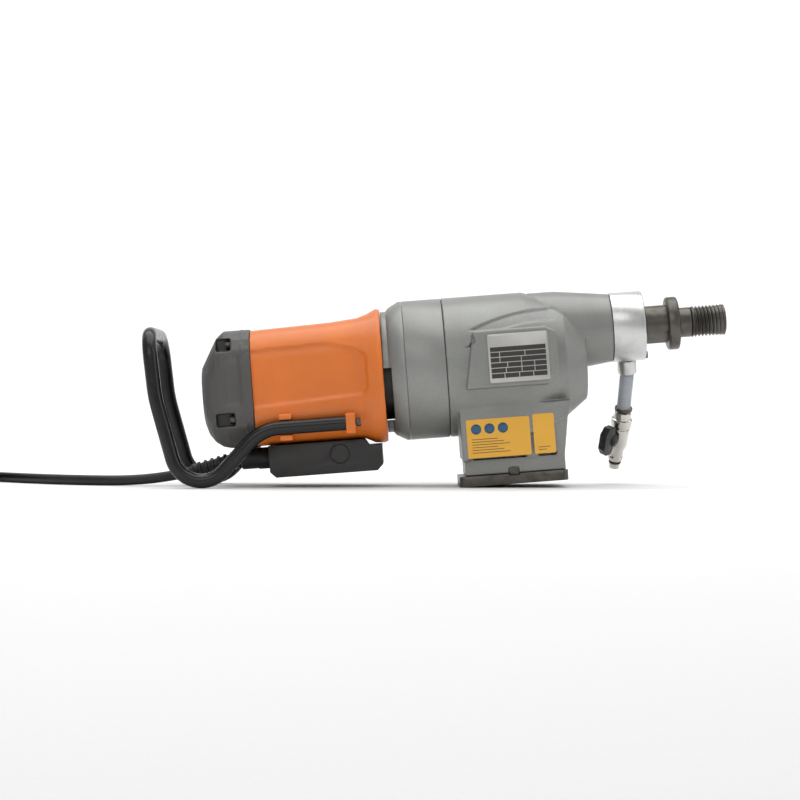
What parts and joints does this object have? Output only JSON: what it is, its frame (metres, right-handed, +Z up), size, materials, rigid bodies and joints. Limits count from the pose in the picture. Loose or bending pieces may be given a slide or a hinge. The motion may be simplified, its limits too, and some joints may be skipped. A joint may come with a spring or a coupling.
{
  "type": "core drill motor",
  "caption": "Three-speed wet core drill motor with a rear tubular handle, mounting plate, water inlet valve, threaded spindle, switch box and mains cord.",
  "frame": {"origin": "centre of the rig's bounding box at floor level, with the cord, its coil and its plug left out", "axes": "+X the way the spindle's nose points, seen from above; +Y to the side with the speed selector; +Z up"},
  "size_m": [0.9275, 0.2523, 0.201],
  "materials": {
    "orange_nylon": "satin",
    "dark_grey_nylon": "satin",
    "silver_casting": "satin",
    "machined_aluminium": "satin",
    "ground_steel": "satin",
    "blackened_steel": "satin",
    "gear_steel": "satin",
    "laminations": "matte",
    "commutator_copper": "satin",
    "brass": "satin",
    "nickel": "satin",
    "carbon": "matte",
    "handle_coating": "satin",
    "black_nylon": "satin",
    "black_rubber": "matte",
    "clear_hose": "gloss",
    "plate_print": "satin",
    "green_plastic": "gloss",
    "red_plastic": "gloss"
  },
  "bodies": {
    "housing": {"rear_cap": "dark_grey_nylon", "cap_screw_1": "ground_steel", "cap_screw_2": "ground_steel", "cap_screw_3": "ground_steel", "cap_screw_4": "ground_steel", "motor_housing": "orange_nylon", "stator": "laminations", "motor_rear_bearing": "ground_steel", "motor_front_bearing": "ground_steel", "brush_holder_left": "brass", "brush_holder_right": "brass", "carbon_brush_left": "carbon", "carbon_brush_right": "carbon", "bearing_shield": "silver_casting", "gearbox_ring": "silver_casting", "gear_carrier_plate": "machined_aluminium", "gear_housing": "silver_casting", "layshaft_rear_bearing": "ground_steel", "layshaft_front_bearing": "ground_steel", "spindle_rear_bearing": "ground_steel", "spindle_front_bearing": "ground_steel", "spindle_seal": "black_rubber", "shift_rail": "ground_steel", "water_collar": "machined_aluminium", "collar_screw": "blackened_steel", "mounting_plate": "blackened_steel", "plate_screw_1": "ground_steel", "plate_screw_2": "ground_steel", "parallel_key": "blackened_steel", "rating_plate": "plate_print", "handle": "handle_coating", "handle_screw_left": "blackened_steel", "handle_screw_right": "blackened_steel", "switch_box": "black_nylon", "blank_plug": "black_nylon", "cable_gland": "black_nylon", "strain_relief": "black_rubber", "hose_fitting": "machined_aluminium", "water_hose": "clear_hose", "hose_clamp": "blackened_steel", "valve_body": "nickel", "valve_o_ring": "black_rubber", "power_cord": "black_rubber", "cord_coil": "black_rubber", "power_plug": "black_rubber"},
    "armature": {"armature_shaft": "ground_steel", "armature_core": "laminations", "commutator": "commutator_copper", "fan": "black_nylon"},
    "layshaft": {"layshaft": "ground_steel", "drive_gear": "gear_steel"},
    "spindle": {"spindle": "blackened_steel", "spindle_gears": "gear_steel"},
    "shift_cluster": {"shift_cluster": "gear_steel"},
    "shift_fork": {"shift_fork": "blackened_steel"},
    "selector": {"selector_knob": "black_nylon"},
    "valve": {"valve_ball": "nickel", "valve_knob": "black_nylon"},
    "start_button": {"start_button": "green_plastic"},
    "stop_button": {"stop_button": "red_plastic"}
  },
  "joints": [
    {"name": "armature_spin", "type": "hinge", "parent": "housing", "child": "armature", "pos_m": [-0.11574, -0.0071, 0.11243], "axis": [0.9972, 0, 0.0748], "continuous": true},
    {"name": "layshaft_spin", "type": "hinge", "parent": "housing", "child": "layshaft", "pos_m": [0.04388, 0.02599, 0.12355], "axis": [0.9972, 0, 0.0748], "continuous": true},
    {"name": "spindle_spin", "type": "hinge", "parent": "housing", "child": "spindle", "pos_m": [0.16136, -0.0071, 0.1616], "axis": [0.9972, 0, 0.0748], "continuous": true},
    {"name": "selector_turn", "type": "hinge", "parent": "housing", "child": "selector", "pos_m": [0.06183, 0.0629, 0.1249], "axis": [0, 1, 0], "range_deg": [-63, 63]},
    {"name": "fork_slide", "type": "slide", "parent": "housing", "child": "shift_fork", "axis": [0.9972, 0, 0.0748], "range_m": [-0.01, 0.01]},
    {"name": "cluster_slide", "type": "slide", "parent": "layshaft", "child": "shift_cluster", "axis": [0.9972, 0, 0.0748], "range_m": [-0.011, 0.011]},
    {"name": "valve_turn", "type": "hinge", "parent": "housing", "child": "valve", "pos_m": [0.19359, 0.04558, 0.05073], "axis": [-0.6802, -0.6935, -0.2375], "range_deg": [0, 90]},
    {"name": "start_press", "type": "slide", "parent": "housing", "child": "start_button", "axis": [0, -1, 0], "range_m": [0, 0.003], "stiffness_N_per_m": 400},
    {"name": "stop_press", "type": "slide", "parent": "housing", "child": "stop_button", "axis": [0, -1, 0], "range_m": [0, 0.003], "stiffness_N_per_m": 400}
  ],
  "couplings": [
    {"joint": "layshaft_spin", "follows": "armature_spin", "ratio": -0.25714},
    {"joint": "spindle_spin", "follows": "armature_spin", "ratio": 0.19543},
    {"joint": "selector_turn", "follows": "fork_slide", "rad_per_m": -104.8},
    {"joint": "cluster_slide", "follows": "fork_slide", "ratio": 1}
  ]
}
